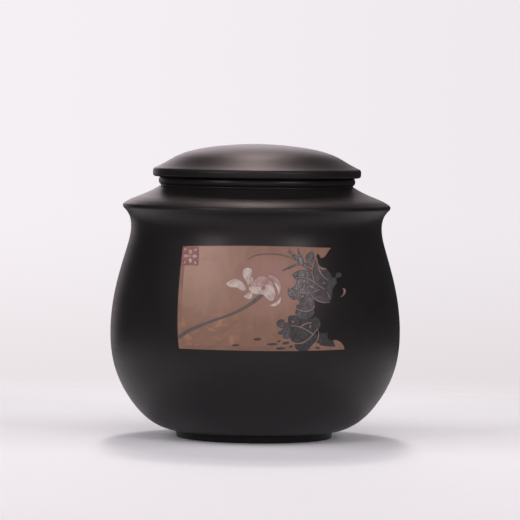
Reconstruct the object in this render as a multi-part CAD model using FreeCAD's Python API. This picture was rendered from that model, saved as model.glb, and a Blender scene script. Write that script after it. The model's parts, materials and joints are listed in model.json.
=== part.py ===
import FreeCAD, Part

import math
import os

from FreeCAD import Vector

# Lidded storage jar of burnished black clay, thrown on a wheel, with a picture
# of coloured clays inlaid flush in its front.  Millimetres.  The origin is the
# centre of the foot ring on the surface that the jar stands on, +Z is up the
# axis of revolution, and the picture faces -Y.
#
# Two things come apart: the jar with its inlays, and the lid.  Each coloured
# clay that was packed into the carved picture is a piece of its own.

# ---- driving dimensions of the jar ------------------------------------------
FOOT_RADIUS = 34.85        # outer wall of the foot ring, at the ground
FOOT_TOP_RADIUS = 35.3     # the same wall where it meets the belly
FOOT_HEIGHT = 2.9
FOOT_BORE = 28.8           # inner wall of the foot ring, at the ground
FOOT_EDGE = 0.5            # rounding of the two edges that touch the ground
RECESS_RADIUS = 28.2       # flat ceiling of the recess inside the foot ring
RECESS_DEPTH = 3.0
FLOOR_Z = 6.8              # the inside floor
FLOOR_RADIUS = 32.0        # where the floor starts to curve up into the wall
WALL = 4.4                 # clay thickness of belly and waist

BELLY_START = 8.0          # degrees above level, where the belly leaves the foot ring
BELLY_RADIUS = 65.0
BELLY_Z = 48.3
WAIST_RADIUS = 56.2
WAIST_Z = 94.4

RIM_ROUND = 1.4            # rounding of the sharp shoulder rim
RIM_CENTRE = (58.57, 103.5)
RIM_START = -45.0          # degrees, where the waist runs into the rounding
RIM_END = 55.0             # degrees, where the rounding runs into the shoulder
SHOULDER_END = 143.0       # degrees, the shoulder's heading where it meets the groove

GROOVE_RADIUS = 43.1       # turned groove between shoulder and neck bead
GROOVE_Z = 112.9
BEAD_RADIUS = 44.05        # neck bead, just under the lid
BEAD_Z = 114.7
BEAD_FOOT = (43.55, 113.4)
BEAD_TOP = (43.75, 116.05)
LIP_Z = 116.45             # flat land that the lid rests on
LIP_BEND = (43.62, 116.35) # the rounding between bead and lip passes here
LIP_OUTER = 43.3
LIP_EDGE = 0.5
MOUTH_RADIUS = 39.0
MOUTH_FOOT_Z = 109.6       # lower end of the straight mouth wall

# Belly and waist, as radius and height, from the foot to the rim rounding.
BELLY_SIDE = [
    (FOOT_TOP_RADIUS, FOOT_HEIGHT),
    (44.4, 5.8),
    (55.6, 16.4),
    (63.0, 31.5),
    (BELLY_RADIUS, BELLY_Z),
    (62.4, 68.8),
    (58.2, 84.0),
    (WAIST_RADIUS, WAIST_Z),
    (57.3, 99.6),
]
SHOULDER = [(57.2, 106.0), (52.5, 108.0), (47.9, 110.0), (44.9, 111.6), (43.6, 112.45)]
# Inside of the shoulder, from the mouth wall down to the waist.
INNER_SHOULDER = [(41.5, 107.6), (47.5, 104.4), (51.2, 100.6)]

# ---- driving dimensions of the lid ------------------------------------------
LID_TOP_Z = 131.5
LID_RADIUS = 46.65
LID_RIM_ROUND = 1.6        # upper edge of the lid's rim
LID_RIM_ROUND_Z = 119.2
LID_RIM_END = 67.0         # degrees, where the dome runs into that rounding
LID_LOWER_ROUND = 1.2
LID_LOWER_Z = 117.9
LID_RELIEF_Z = 116.7       # underside of the rim, just clear of the bead
LID_SEAT_OUTER = 43.0
LID_STEP = 0.2             # how far the step from seat to relief leans out
COLLAR_RADIUS = 38.6       # 0.4 mm free in the mouth
COLLAR_BORE = 35.6
COLLAR_FOOT_Z = 110.2
COLLAR_EDGE = 0.7
COLLAR_FILLET = 0.4
LID_HOLLOW_Z = 127.6       # highest point of the hollow under the dome
DOME = [(13.4, 130.85), (26.6, 129.0), (36.0, 125.9), (41.3, 122.9)]
LID_HOLLOW = [(34.6, 121.4), (30.0, 124.6), (18.0, 126.8)]

# ---- the inlay ---------------------------------------------------------------
INLAY_DEPTH = 1.2          # how deep the picture is carved into the wall
INLAY_LOW_Z = 38.0
INLAY_HIGH_Z = 92.0
INLAY_HALF_WIDTH = 43.0
INLAY_NEAR_Y = -70.0       # front of the block that the picture lies in
INLAY_FAR_Y = -40.0        # and its back
POINT_WIDTH = 0.16         # how blunt a drawn line is where it ends in a point
ARC_BEND = 0.3             # a quarter round of radius 1 passes this near its corner


# ---- curves ------------------------------------------------------------------
def on_side(radius, height):
    """A point of a profile, in the half plane x = 0, y > 0."""
    return Vector(0, radius, height)


def on_front(x, z):
    """A point of the picture, in the plane y = 0, seen from the front."""
    return Vector(x, 0, z)


def spline(points, start=None, end=None):
    """A smooth curve through points, with set directions at its ends."""
    curve = Part.BSplineCurve()
    if start is None:
        curve.interpolate(Points=points)
    else:
        curve.interpolate(Points=points, InitialTangent=start, FinalTangent=end, Scale=False)
    return curve


def stroke(points):
    """A line through two points, an arc through three, or else a spline."""
    if len(points) == 2:
        return Part.makeLine(points[0], points[1])
    if len(points) == 3:
        return Part.Arc(points[0], points[1], points[2]).toShape()
    return spline(points).toShape()


def turn(centre, radius, degrees):
    """The point of a circle of a profile at an angle above level."""
    angle = math.radians(degrees)
    return on_side(centre[0] + radius * math.cos(angle), centre[1] + radius * math.sin(angle))


def heading(degrees):
    """A unit direction in the plane of a profile."""
    angle = math.radians(degrees)
    return Vector(0, math.cos(angle), math.sin(angle))


def revolved(edges):
    """A solid of revolution about Z, with its seam at the back."""
    face = Part.Face(Part.Wire(edges))
    return face.revolve(Vector(0, 0, 0), Vector(0, 0, 1), 360)


# ---- jar ---------------------------------------------------------------------
def belly_curve():
    """The outside of the jar from the foot ring to the shoulder rim."""
    points = [on_side(*place) for place in BELLY_SIDE]
    points.append(turn(RIM_CENTRE, RIM_ROUND, RIM_START))
    return spline(points, heading(BELLY_START), heading(90 + RIM_START))


def inner_curve():
    """The inside of the jar from the mouth wall down to the floor."""
    outside = belly_curve()
    points = [on_side(MOUTH_RADIUS, MOUTH_FOOT_Z)]
    points += [on_side(*place) for place in INNER_SHOULDER]
    for place in reversed(BELLY_SIDE[1:-1]):
        skin = on_side(*place)
        along = outside.tangent(outside.parameter(skin))[0]
        outward = Vector(0, along.z, -along.y).normalize()
        points.append(skin - outward * WALL)
    points.append(on_side(FLOOR_RADIUS, FLOOR_Z))
    return spline(points, heading(-90), heading(180))


def foot_edges():
    """The recess under the jar and the ring that it stands on."""
    slope = FOOT_EDGE * ARC_BEND
    return [
        stroke([on_side(0, RECESS_DEPTH), on_side(RECESS_RADIUS, RECESS_DEPTH)]),
        stroke([on_side(RECESS_RADIUS, RECESS_DEPTH), on_side(FOOT_BORE, FOOT_EDGE)]),
        stroke([
            on_side(FOOT_BORE, FOOT_EDGE),
            on_side(FOOT_BORE + slope, slope),
            on_side(FOOT_BORE + FOOT_EDGE, 0),
        ]),
        stroke([on_side(FOOT_BORE + FOOT_EDGE, 0), on_side(FOOT_RADIUS - FOOT_EDGE, 0)]),
        stroke([
            on_side(FOOT_RADIUS - FOOT_EDGE, 0),
            on_side(FOOT_RADIUS - slope, slope),
            on_side(FOOT_RADIUS, FOOT_EDGE),
        ]),
        stroke([on_side(FOOT_RADIUS, FOOT_EDGE), on_side(FOOT_TOP_RADIUS, FOOT_HEIGHT)]),
    ]


def shoulder_edges():
    """The rim rounding, the sloping shoulder, and the groove at its top."""
    rim_start = turn(RIM_CENTRE, RIM_ROUND, RIM_START)
    rim_outermost = turn(RIM_CENTRE, RIM_ROUND, 0)
    rim_end = turn(RIM_CENTRE, RIM_ROUND, RIM_END)
    slope = [rim_end] + [on_side(*place) for place in SHOULDER]
    groove = [slope[-1], on_side(GROOVE_RADIUS, GROOVE_Z), on_side(*BEAD_FOOT)]
    return [
        stroke([rim_start, rim_outermost, rim_end]),
        spline(slope, heading(90 + RIM_END), heading(SHOULDER_END)).toShape(),
        stroke(groove),
    ]


def neck_edges():
    """The neck bead, the flat lip under the lid, and the mouth wall."""
    mouth_top = on_side(MOUTH_RADIUS, LIP_Z - LIP_EDGE)
    inset = LIP_EDGE * ARC_BEND
    return [
        stroke([on_side(*BEAD_FOOT), on_side(BEAD_RADIUS, BEAD_Z), on_side(*BEAD_TOP)]),
        stroke([on_side(*BEAD_TOP), on_side(*LIP_BEND), on_side(LIP_OUTER, LIP_Z)]),
        stroke([on_side(LIP_OUTER, LIP_Z), on_side(MOUTH_RADIUS + LIP_EDGE, LIP_Z)]),
        stroke([
            on_side(MOUTH_RADIUS + LIP_EDGE, LIP_Z),
            on_side(MOUTH_RADIUS + inset, LIP_Z - inset),
            mouth_top,
        ]),
        stroke([mouth_top, on_side(MOUTH_RADIUS, MOUTH_FOOT_Z)]),
    ]


def whole_jar():
    """The jar before the picture is carved into it."""
    edges = foot_edges() + [belly_curve().toShape()]
    edges += shoulder_edges() + neck_edges() + [inner_curve().toShape()]
    edges.append(stroke([on_side(FLOOR_RADIUS, FLOOR_Z), on_side(0, FLOOR_Z)]))
    edges.append(stroke([on_side(0, FLOOR_Z), on_side(0, RECESS_DEPTH)]))
    return revolved(edges)


# ---- lid ---------------------------------------------------------------------
def dome_edges():
    """The top of the lid and its rounded rim."""
    rim_centre = (LID_RADIUS - LID_RIM_ROUND, LID_RIM_ROUND_Z)
    rim_start = turn(rim_centre, LID_RIM_ROUND, LID_RIM_END)
    rim_middle = turn(rim_centre, LID_RIM_ROUND, LID_RIM_END / 2)
    rim_end = turn(rim_centre, LID_RIM_ROUND, 0)
    lower_centre = (LID_RADIUS - LID_LOWER_ROUND, LID_LOWER_Z)
    lower = [turn(lower_centre, LID_LOWER_ROUND, degrees) for degrees in (0, -45, -90)]
    dome = [on_side(0, LID_TOP_Z)] + [on_side(*place) for place in DOME] + [rim_start]
    return [
        spline(dome, heading(0), heading(LID_RIM_END - 90)).toShape(),
        stroke([rim_start, rim_middle, rim_end]),
        stroke([rim_end, lower[0]]),
        stroke(lower),
    ]


def lid_under_edges():
    """The underside: relief, seat, locating collar and the hollow dome."""
    relief = on_side(LID_RADIUS - LID_LOWER_ROUND, LID_RELIEF_Z)
    step_top = on_side(LID_SEAT_OUTER + LID_STEP, LID_RELIEF_Z)
    step_foot = on_side(LID_SEAT_OUTER, LIP_Z)
    fillet_start = on_side(COLLAR_RADIUS + COLLAR_FILLET, LIP_Z)
    bend = COLLAR_FILLET * ARC_BEND
    fillet_middle = on_side(COLLAR_RADIUS + bend, LIP_Z - bend)
    fillet_end = on_side(COLLAR_RADIUS, LIP_Z - COLLAR_FILLET)
    outer_foot = on_side(COLLAR_RADIUS, COLLAR_FOOT_Z + COLLAR_EDGE)
    outer_tip = on_side(COLLAR_RADIUS - COLLAR_EDGE, COLLAR_FOOT_Z)
    inner_tip = on_side(COLLAR_BORE + COLLAR_EDGE, COLLAR_FOOT_Z)
    inner_foot = on_side(COLLAR_BORE, COLLAR_FOOT_Z + COLLAR_EDGE)
    inset = COLLAR_EDGE * ARC_BEND
    outer_bend = on_side(COLLAR_RADIUS - inset, COLLAR_FOOT_Z + inset)
    inner_bend = on_side(COLLAR_BORE + inset, COLLAR_FOOT_Z + inset)
    hollow_foot = on_side(COLLAR_BORE, LIP_Z)
    hollow = [hollow_foot] + [on_side(*place) for place in LID_HOLLOW]
    hollow.append(on_side(0, LID_HOLLOW_Z))
    return [
        stroke([relief, step_top]),
        stroke([step_top, step_foot]),
        stroke([step_foot, fillet_start]),
        stroke([fillet_start, fillet_middle, fillet_end]),
        stroke([fillet_end, outer_foot]),
        stroke([outer_foot, outer_bend, outer_tip]),
        stroke([outer_tip, inner_tip]),
        stroke([inner_tip, inner_bend, inner_foot]),
        stroke([inner_foot, hollow_foot]),
        spline(hollow, heading(90), heading(180)).toShape(),
        stroke([on_side(0, LID_HOLLOW_Z), on_side(0, LID_TOP_Z)]),
    ]


def lid():
    """The domed lid, which rests on the lip with its collar in the mouth."""
    return revolved(dome_edges() + lid_under_edges())


# ---- shapes of the picture ---------------------------------------------------
def front_face(edges):
    """The face inside edges of the plane y = 0, turned to the front."""
    face = Part.Face(Part.Plane(Vector(0, 0, 0), Vector(0, -1, 0)), Part.Wire(edges))
    face.validate()
    return face


def region(*strokes):
    """A face bounded by strokes, each starting where the last one ended."""
    return front_face([stroke([on_front(*place) for place in points]) for points in strokes])


def blob(*places):
    """A face inside one smooth closed curve."""
    curve = Part.BSplineCurve()
    curve.interpolate(Points=[on_front(*place) for place in places], PeriodicFlag=True)
    return front_face([curve.toShape()])


def oval(x, z, length, height, tilt=0.0):
    """An elliptical face, tilted anticlockwise in degrees."""
    edge = Part.Ellipse(Vector(0, 0, 0), length / 2, height / 2).toShape()
    edge.rotate(Vector(0, 0, 0), Vector(0, 0, 1), tilt)
    edge.rotate(Vector(0, 0, 0), Vector(1, 0, 0), 90)
    edge.translate(on_front(x, z))
    return front_face([edge])


def line(widths, *places):
    """A drawn line along places, with one width for each of them."""
    path = [on_front(*place) for place in places]
    left = []
    right = []
    last = len(path) - 1
    for index, point in enumerate(path):
        along = (path[min(index + 1, last)] - path[max(index - 1, 0)]).normalize()
        across = Vector(-along.z, 0, along.x) * (widths[index] / 2)
        left.append(point + across)
        right.append(point - across)
    right.reverse()
    edges = [spline(left).toShape(), Part.makeLine(left[-1], right[0])]
    edges += [spline(right).toShape(), Part.makeLine(right[-1], left[0])]
    return front_face(edges)


def joined(faces):
    """Faces of one clay, merged where they touch."""
    return faces[0].multiFuse(faces[1:]).removeSplitter()


# ---- picture: panel and corner square ---------------------------------------
PANEL_TOP = [(33.0, 87.2), (0.5, 88.1), (-31.9, 87.2)]
PANEL_LEFT = [(-31.9, 87.2), (-32.7, 79.0), (-33.6, 66.0), (-33.7, 52.0), (-33.0, 43.0)]
PANEL_LOW_Z = 43.0
MARGIN = 1.6               # width of the strip along the left and lower edges
SEAL_LEFT = -31.9
SEAL_RIGHT = -25.0
SEAL_LOW = 79.2
SEAL_HIGH = 87.0
SEAL_BOW = 0.12            # how far its edges bow out
BLOSSOM_REACH = 1.85       # from the blossom's centre to a petal's centre
CORNER_REACH = (2.3, 2.8)  # the same to a corner mark, sideways and up
BEYOND_RIGHT = 45.0        # past the picture's right end
BEYOND_TOP = 90.0          # past its top


def panel():
    """The whole tan panel, before the picture is cut out of it."""
    return region(
        PANEL_TOP,
        PANEL_LEFT,
        [(-33.0, PANEL_LOW_Z), (19.8, PANEL_LOW_Z - 0.1)],
        [(19.8, PANEL_LOW_Z - 0.1), (21.6, 49.0), (22.6, 57.0), (23.0, 66.0), (24.6, 76.0)],
        [(24.6, 76.0), (25.2, 79.4), (26.4, 82.6)],
        [(26.4, 82.6), (26.4, 84.0), (27.0, 84.8)],
        [(27.0, 84.8), (27.6, 84.1), (28.1, 82.9)],
        [(28.1, 82.9), (29.8, 83.4), (31.2, 85.2), (33.0, 87.2)],
    )


def inner_panel():
    """The panel inside its margin strip."""
    inset = [(x + MARGIN, z) for x, z in PANEL_LEFT]
    inset[0] = (inset[0][0], BEYOND_TOP)
    inset[-1] = (inset[-1][0], PANEL_LOW_Z + MARGIN)
    corner = inset[-1]
    return region(
        inset,
        [corner, (BEYOND_RIGHT, corner[1])],
        [(BEYOND_RIGHT, corner[1]), (BEYOND_RIGHT, BEYOND_TOP)],
        [(BEYOND_RIGHT, BEYOND_TOP), inset[0]],
    )


def toe():
    """The tan patch past the foot of the leaves, rounded off at its end."""
    return region(
        [(22.9, PANEL_LOW_Z), (39.1, 43.2)],
        [(39.1, 43.2), (38.3, 45.4), (33.9, 47.5)],
        [(33.9, 47.5), (30.0, 46.4), (26.0, 46.2), (22.9, PANEL_LOW_Z)],
    )


def seal_tile():
    """A red square in the upper left corner, its edges slightly bowed."""
    middle_x = (SEAL_LEFT + SEAL_RIGHT) / 2
    middle_z = (SEAL_LOW + SEAL_HIGH) / 2
    lower_left = (SEAL_LEFT - 0.7, SEAL_LOW)
    lower_right = (SEAL_RIGHT - 0.1, SEAL_LOW)
    upper_right = (SEAL_RIGHT, SEAL_HIGH)
    upper_left = (SEAL_LEFT + 0.05, SEAL_HIGH)
    return region(
        [lower_left, (middle_x, SEAL_LOW - SEAL_BOW), lower_right],
        [lower_right, (SEAL_RIGHT + SEAL_BOW, middle_z), upper_right],
        [upper_right, (middle_x, SEAL_HIGH + SEAL_BOW), upper_left],
        [upper_left, (SEAL_LEFT - 0.4, middle_z), lower_left],
    )


def seal_blossom():
    """A plain four-petal blossom with a dot in each corner of the square."""
    middle_x = (SEAL_LEFT + SEAL_RIGHT) / 2 - 0.15
    middle_z = (SEAL_LOW + SEAL_HIGH) / 2
    marks = [oval(middle_x, middle_z, 1.0, 1.0)]
    for right, up in ((1, 0), (0, 1), (-1, 0), (0, -1)):
        x = middle_x + right * BLOSSOM_REACH
        z = middle_z + up * BLOSSOM_REACH
        marks.append(oval(x, z, 2.2, 1.5, 90 * abs(up)))
    for right, up in ((1, 1), (-1, 1), (-1, -1), (1, -1)):
        x = middle_x + right * CORNER_REACH[0]
        z = middle_z + up * CORNER_REACH[1]
        marks.append(oval(x, z, 1.5, 0.8, 45 * right * up))
    return marks


# ---- picture: the flower -----------------------------------------------------
def petal_upper():
    return blob(
        (-3.3, 70.9),
        (-4.7, 73.6),
        (-5.8, 76.2),
        (-5.1, 78.2),
        (-3.3, 78.8),
        (-1.7, 77.9),
        (-1.9, 75.6),
    )


def petal_left():
    return region(
        [(-3.9, 69.9), (-5.6, 72.3), (-8.2, 73.8), (-10.9, 73.3), (-12.8, 71.7)],
        [(-12.8, 71.7), (-11.0, 70.2), (-8.0, 70.0), (-5.6, 68.7), (-3.9, 69.9)],
    )


def petal_small():
    return blob(
        (-5.1, 66.5),
        (-3.9, 67.5),
        (-2.1, 68.1),
        (-1.3, 67.1),
        (-1.7, 65.8),
        (-2.9, 65.2),
        (-4.2, 65.7),
    )


def petal_sliver():
    return region(
        [(-2.3, 71.6), (-2.7, 73.4), (-1.5, 75.0)],
        [(-1.5, 75.0), (-1.0, 73.2), (-2.3, 71.6)],
    )


def petal_veil():
    """A thin back petal that curls round the right of the flower."""
    return region(
        [(4.6, 75.2), (7.9, 75.3), (10.6, 72.6), (11.0, 69.8), (10.4, 67.6)],
        [(10.4, 67.6), (9.3, 69.6), (8.2, 71.9), (4.6, 75.2)],
    )


def petal_arc():
    """The pale crescent along the right of the cup."""
    return region(
        [(7.4, 72.8), (9.7, 71.5), (10.5, 68.9), (9.7, 66.8)],
        [(9.7, 66.8), (9.5, 69.0), (8.6, 71.0), (7.4, 72.8)],
    )


def petal_crescent():
    return region(
        [(5.7, 62.9), (8.6, 62.3), (11.0, 66.6)],
        [(11.0, 66.6), (9.0, 64.2), (5.7, 62.9)],
    )


def flower_heart():
    """The rosy middle of the flower."""
    return region(
        [(-3.1, 70.0), (-0.8, 73.4), (2.6, 75.2), (5.6, 74.2), (7.6, 71.6), (8.4, 68.6)],
        [(8.4, 68.6), (2.6, 67.5), (-3.1, 70.0)],
    )


def flower_bowl():
    """The pale cup under it."""
    return region(
        [(-3.1, 70.0), (-0.6, 71.0), (2.2, 70.8), (5.0, 71.6), (7.3, 70.9), (8.4, 68.6)],
        [(8.4, 68.6), (8.6, 66.6), (7.1, 64.5)],
        [(7.1, 64.5), (5.0, 65.4), (3.4, 67.0), (0.4, 67.3), (-3.1, 70.0)],
    )


def flower_eye():
    return blob((2.5, 70.0), (3.2, 71.0), (4.2, 70.6), (3.8, 69.5))


def stem():
    widths = (1.5, 1.5, 1.25, 1.0, 1.0, 1.15, 1.4, 1.7, 1.2)
    return line(
        widths,
        (-33.3, 47.6),
        (-29.3, 50.6),
        (-24.6, 53.0),
        (-18.6, 55.5),
        (-12.4, 57.8),
        (-7.0, 60.2),
        (-2.4, 63.0),
        (1.4, 65.9),
        (3.2, 67.4),
    )


def tendril():
    widths = (POINT_WIDTH, 0.42, 0.45, 0.45, 0.45, 0.4)
    path = [(-3.3, 82.2), (-0.4, 83.9), (4.4, 84.6), (9.8, 84.5), (14.6, 83.3), (17.6, 81.8)]
    return line(widths, *path)


# ---- picture: twigs, buds and leaves ----------------------------------------
# The line between the blade-shaped leaf and the one behind it.
BLADE_RIB = [(31.7, 73.4), (28.6, 76.0), (27.0, 79.6), (26.3, 83.2)]


def twigs():
    """Three twigs that meet, with a few short blades, all of one clay."""
    main_path = [(14.2, 86.2), (16.6, 83.9), (19.6, 81.3), (22.0, 79.0), (24.4, 77.3)]
    main = line((0.6, 1.5, 1.7, 1.2, 0.6), *main_path)
    upright = line((0.5, 0.7, 1.7, 0.8), (18.2, 87.1), (18.6, 85.2), (19.3, 83.2), (20.6, 81.2))
    side = line((0.4, 0.8, 1.0, 0.8), (11.4, 77.5), (14.4, 78.8), (17.4, 80.0), (20.4, 80.6))
    blade = line((0.6, 1.1, 0.4), (20.2, 80.4), (22.4, 80.3), (24.4, 79.0))
    return joined([main, upright, side, blade])


def bud_tall():
    return blob(
        (24.0, 85.8),
        (22.3, 84.6),
        (21.5, 82.8),
        (22.6, 81.1),
        (24.6, 80.7),
        (25.4, 82.4),
        (25.2, 84.6),
    )


def bud_round():
    """A round bud on a short neck, out on the black clay."""
    neck = line((0.9, 0.8, 1.1), (34.0, 73.6), (35.0, 74.3), (36.0, 75.2))
    return joined([oval(36.2, 75.5, 2.5, 2.3), neck])


def leaf_crown():
    return region(
        [(15.8, 75.6), (17.9, 77.3), (20.7, 77.8), (24.3, 76.8)],
        [(24.3, 76.8), (24.9, 74.8), (25.4, 72.6)],
        [(25.4, 72.6), (21.4, 74.5), (17.0, 74.2)],
        [(17.0, 74.2), (15.8, 75.6)],
    )


def leaf_middle():
    return region(
        [(17.0, 74.2), (21.4, 74.5), (25.4, 72.6)],
        [(25.4, 72.6), (28.6, 70.2)],
        [(28.6, 70.2), (21.6, 68.0), (14.6, 70.1)],
        [(14.6, 70.1), (16.8, 70.8), (17.7, 72.4), (17.0, 74.2)],
    )


def leaf_under():
    return region(
        [(14.2, 70.2), (18.4, 68.3), (23.6, 68.1)],
        [(23.6, 68.1), (25.4, 65.2), (25.6, 61.4)],
        [(25.6, 61.4), (21.6, 60.3), (17.8, 61.5)],
        [(17.8, 61.5), (17.7, 62.8)],
        [(17.7, 62.8), (19.0, 63.6), (17.0, 65.0)],
        [(17.0, 65.0), (14.6, 66.6), (14.2, 70.2)],
    )


def leaf_right():
    return region(
        [(23.6, 68.1), (26.6, 68.7), (30.0, 69.9)],
        [(30.0, 69.9), (31.8, 67.4), (32.4, 64.2)],
        [(32.4, 64.2), (27.4, 64.3), (23.6, 68.1)],
    )


def leaf_blade():
    return region(
        [(26.3, 83.2), (25.1, 78.4), (25.4, 72.6)],
        [(25.4, 72.6), (28.6, 70.2)],
        [(28.6, 70.2), (30.0, 69.9)],
        [(30.0, 69.9), (31.4, 71.6), (31.7, 73.4)],
        BLADE_RIB,
    )


def leaf_side():
    return region(
        [(27.6, 78.2), (30.6, 78.2), (32.6, 76.1), (33.4, 74.3)],
        [(33.4, 74.3), (31.7, 73.4)],
        [(31.7, 73.4), (28.6, 76.0), (27.6, 78.2)],
    )


def leaf_outer():
    """The part of the cluster that runs out over the black clay."""
    return region(
        [(30.0, 69.9), (31.4, 71.6), (31.7, 73.4)],
        [(31.7, 73.4), (34.2, 74.4), (35.4, 72.4), (33.6, 69.4), (33.4, 66.8), (32.4, 64.2)],
        [(32.4, 64.2), (31.8, 67.4), (30.0, 69.9)],
    )


def leaf_drop():
    return region(
        [(17.8, 61.0), (21.6, 59.8), (25.5, 60.9)],
        [(25.5, 60.9), (24.9, 57.9), (22.0, 56.5), (19.0, 56.9), (17.5, 58.8), (17.8, 61.0)],
    )


def leaf_lobed():
    """Three lobes, like fingers, at the left of the lower cluster."""
    return region(
        [(16.0, 55.2), (12.9, 55.4)],
        [(12.9, 55.4), (11.2, 56.7), (9.2, 54.9), (10.6, 53.2), (12.7, 52.9)],
        [(12.7, 52.9), (11.6, 52.1), (9.9, 50.7), (11.4, 50.1), (12.6, 50.3)],
        [(12.6, 50.3), (12.0, 49.0), (13.2, 48.3), (15.6, 50.2)],
        [(15.6, 50.2), (16.0, 55.2)],
    )


def low_crown():
    return region(
        [(14.6, 58.1), (18.0, 58.2), (21.4, 57.2), (24.9, 57.0)],
        [(24.9, 57.0), (24.7, 55.1)],
        [(24.7, 55.1), (21.8, 54.9), (19.6, 53.3), (15.6, 53.9)],
        [(15.6, 53.9), (14.3, 55.8), (14.6, 58.1)],
    )


def low_body():
    return region(
        [(15.6, 53.9), (19.6, 53.3), (22.6, 51.9), (25.2, 50.1)],
        [(25.2, 50.1), (22.2, 47.3), (18.6, 46.2), (15.9, 47.3), (15.4, 50.4), (15.6, 53.9)],
    )


def low_side():
    return region(
        [(19.6, 53.3), (21.8, 54.9), (24.7, 55.1)],
        [(24.7, 55.1), (25.3, 52.8), (25.2, 50.1)],
        [(25.2, 50.1), (22.6, 51.9), (19.6, 53.3)],
    )


def low_right():
    return region(
        [(24.9, 57.0), (26.6, 57.5), (28.2, 55.9), (28.4, 53.8), (27.3, 52.2), (25.2, 50.1)],
        [(25.2, 50.1), (25.3, 52.8), (24.7, 55.1)],
        [(24.7, 55.1), (24.9, 57.0)],
    )


def low_toe():
    return region(
        [(25.2, 50.1), (27.3, 49.6), (27.4, 47.8), (25.6, 45.6), (22.9, PANEL_LOW_Z)],
        [(22.9, PANEL_LOW_Z), (19.8, PANEL_LOW_Z - 0.1)],
        [(19.8, PANEL_LOW_Z - 0.1), (17.6, 44.2), (17.2, 45.9)],
        [(17.2, 45.9), (19.6, 46.3), (22.4, 47.4), (25.2, 50.1)],
    )


def low_block():
    return region(
        [(28.0, 50.6), (31.8, 50.7)],
        [(31.8, 50.7), (32.1, 48.0), (34.0, 47.4)],
        [(34.0, 47.4), (35.0, 44.6)],
        [(35.0, 44.6), (31.4, 44.8), (28.2, 45.5)],
        [(28.2, 45.5), (27.4, 47.8), (28.0, 50.6)],
    )


# ---- picture: thin tan lines, spots, pebbles --------------------------------
# Tan lines that part the leaves: widths, then the places that they pass.
VEINS = {
    "vein_crown": ((0.3, 0.55, 0.55, 0.55, 0.4),
                   [(17.2, 74.2), (21.4, 74.5), (25.4, 72.6), (28.6, 70.3), (30.2, 69.4)]),
    "vein_middle": ((0.4, 0.55, 0.55, 0.3),
                    [(14.5, 70.1), (18.3, 68.4), (23.6, 68.1), (28.4, 69.7)]),
    "vein_right": ((0.5, 0.55, 0.55, 0.3),
                   [(23.4, 68.2), (24.9, 66.2), (27.6, 64.4), (32.2, 63.9)]),
    "vein_shoulder": ((0.4, 0.5, 0.5, 0.4),
                      [(24.3, 77.0), (24.8, 75.4), (25.2, 74.0), (25.4, 72.6)]),
    "vein_blade": ((0.35, 0.55, 0.8, 0.5), BLADE_RIB),
    "vein_drop": ((0.3, 0.6, 0.6, 0.6, 0.3),
                  [(17.7, 61.3), (20.4, 60.3), (23.2, 60.3), (25.2, 61.5), (25.5, 62.8)]),
    "vein_edge": ((POINT_WIDTH, 0.5, 0.5, POINT_WIDTH),
                  [(30.9, 68.5), (31.6, 67.4), (32.1, 66.2), (32.3, 65.0)]),
    "vein_low_foot": ((0.3, 0.55, 0.55, 0.55, 0.4),
                      [(16.0, 47.2), (18.6, 46.2), (22.2, 47.3), (25.2, 50.1), (27.4, 52.7)]),
    "vein_low_top": ((0.3, 0.55, 0.55, 0.55),
                     [(15.4, 53.9), (19.6, 53.3), (22.6, 51.9), (25.2, 50.1)]),
    "vein_low_side": ((0.5, 0.55, 0.55, 0.3),
                      [(19.8, 53.4), (20.8, 54.2), (22.0, 54.8), (24.7, 55.1)]),
    "vein_heel": ((POINT_WIDTH, 0.45, 0.5, 0.6, 0.7),
                  [(27.5, 51.8), (27.6, 49.9), (27.3, 47.9), (25.8, 45.9), (24.0, 44.2)]),
    "vein_wing": ((0.4, 0.9, 0.9, POINT_WIDTH),
                  [(27.1, 80.4), (28.0, 78.9), (29.3, 78.3), (30.8, 78.3)]),
}


def leaf_spots():
    return [
        oval(20.9, 73.0, 1.7, 1.3, 60),
        oval(19.1, 70.9, 1.4, 1.0, 90),
        oval(24.4, 70.6, 2.2, 1.0, -25),
        oval(20.4, 66.5, 1.6, 0.8, 25),
        oval(16.4, 55.7, 1.5, 0.8, -35),
        oval(23.9, 53.5, 1.3, 0.8, 80),
        oval(29.8, 72.2, 1.5, 0.6, -25),
    ]


def pebbles():
    return [
        oval(1.1, 48.0, 3.4, 1.15, 6),
        oval(-8.3, 45.3, 3.3, 0.9, 4),
        oval(7.6, 45.9, 4.6, 1.1, 2),
        oval(10.4, 47.2, 1.6, 0.8, 15),
        oval(13.4, 46.4, 3.2, 1.2, 8),
        oval(11.2, 44.1, 4.2, 1.1, 3),
        oval(15.7, 44.9, 1.6, 1.1, 20),
        oval(27.2, 44.2, 2.1, 1.0, -12),
    ]


def curl():
    """A small tan curl by itself, out on the black clay."""
    path = [(38.0, 69.6), (38.9, 68.8), (38.6, 67.4), (38.1, 66.6), (37.1, 66.3)]
    return line((0.35, 0.9, 0.8, 0.5, 0.35), *path)


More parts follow.
